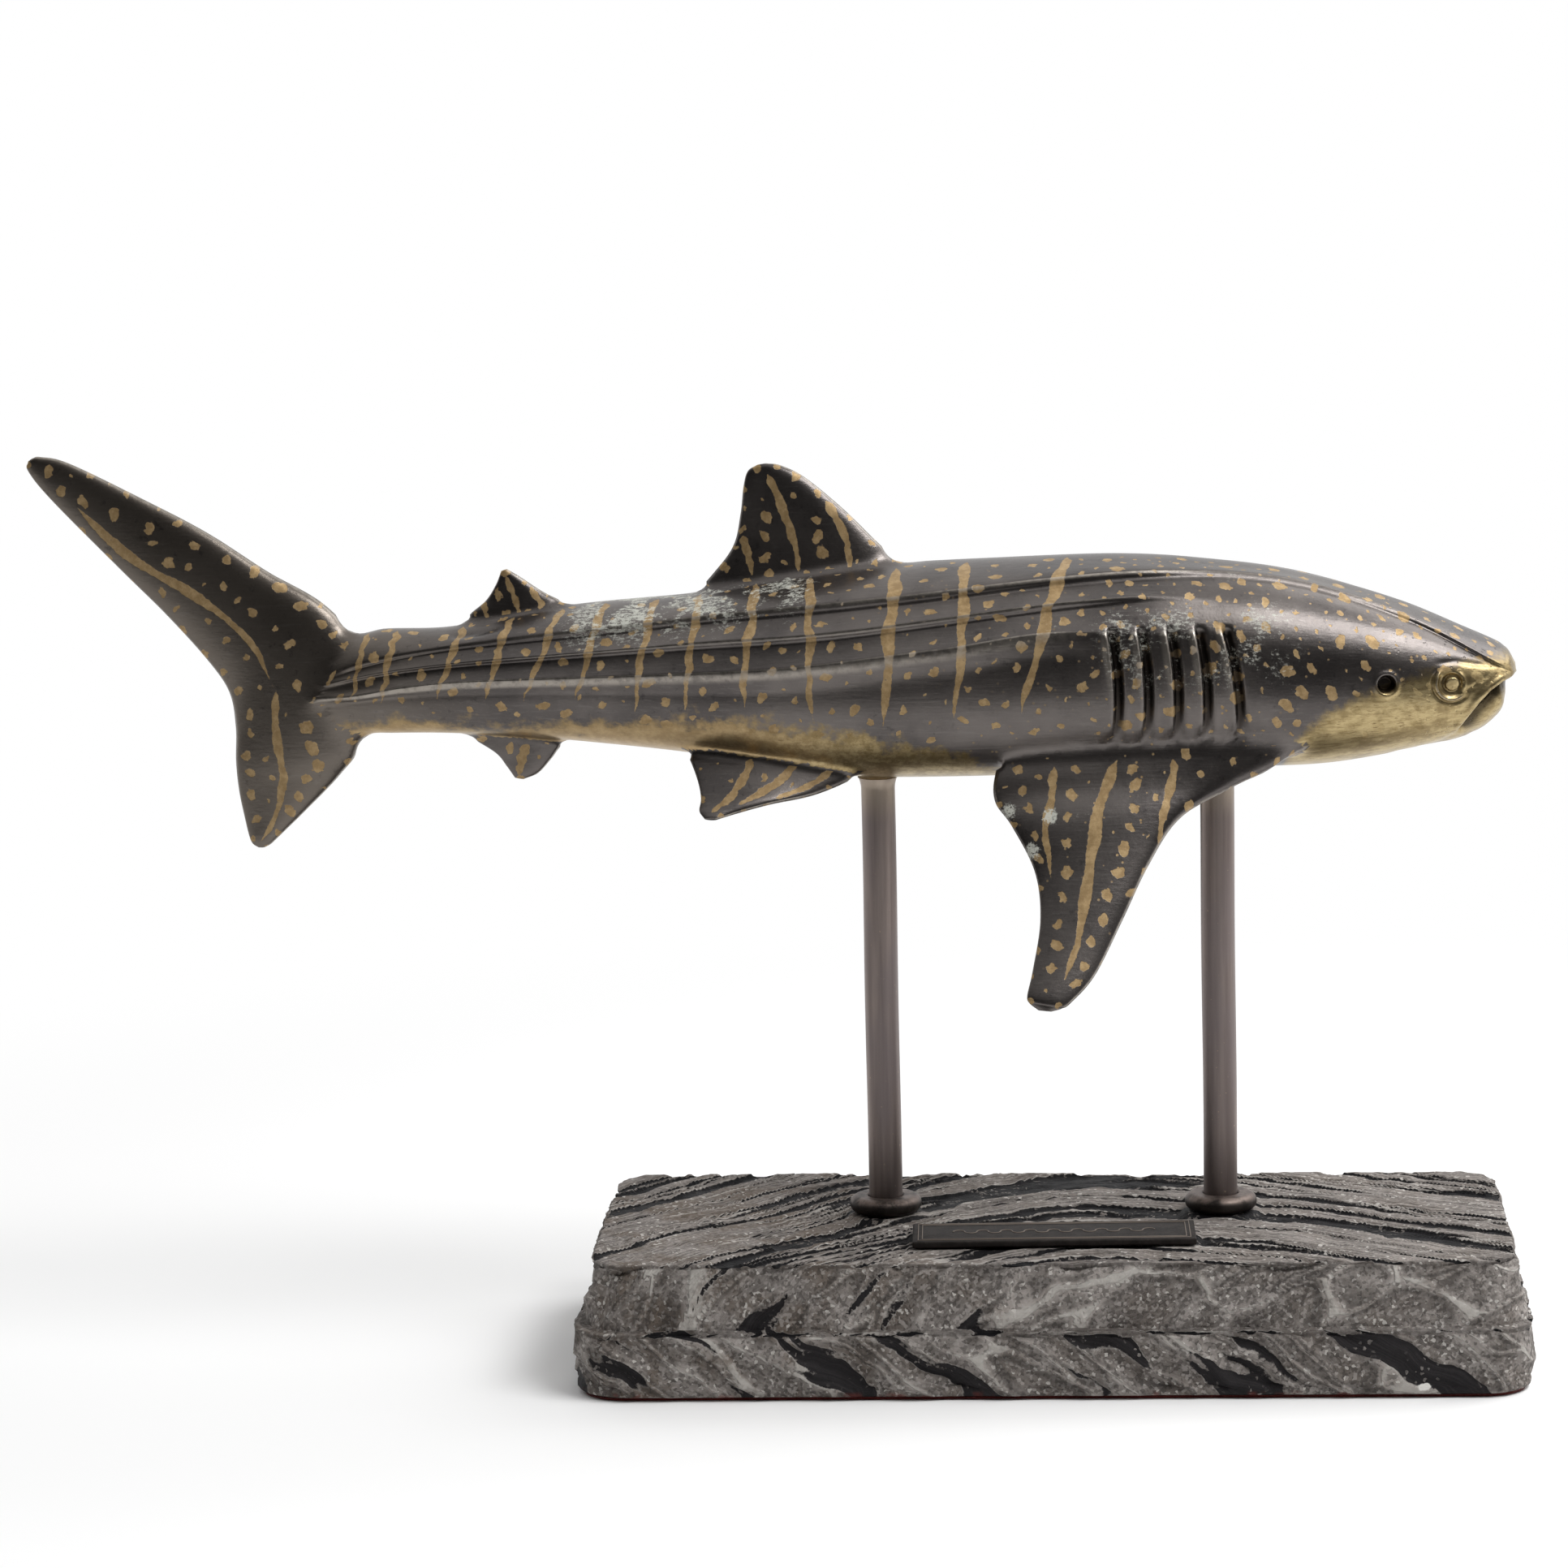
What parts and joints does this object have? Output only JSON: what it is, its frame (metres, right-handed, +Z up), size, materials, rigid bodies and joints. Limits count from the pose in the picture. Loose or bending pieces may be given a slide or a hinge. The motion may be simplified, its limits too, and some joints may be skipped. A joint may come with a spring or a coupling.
{
  "type": "whale shark figurine",
  "caption": "Cast bronze whale shark figure carried on round posts with ring collars above a stepped, veined stone plinth with a small blank plaque.",
  "frame": {"origin": "centre of the underside of the felt under the plinth", "axes": "+X along the plinth towards the shark's head, +Y away from the side with the plaque, +Z up"},
  "size_m": [0.5583, 0.1637, 0.3434],
  "materials": {
    "patinated_bronze": "satin",
    "bronze_rod": "satin",
    "dark_bronze": "satin",
    "plated_steel": "satin",
    "veined_stone": "matte",
    "red_felt": "matte"
  },
  "bodies": {
    "root": {"shark_casting": "patinated_bronze", "rear_post": "bronze_rod", "front_post": "bronze_rod", "rear_collar": "dark_bronze", "front_collar": "dark_bronze", "rear_washer": "plated_steel", "front_washer": "plated_steel", "rear_nut": "plated_steel", "front_nut": "plated_steel", "stone_plinth": "veined_stone", "plaque": "dark_bronze", "felt_pad": "red_felt"}
  },
  "joints": []
}
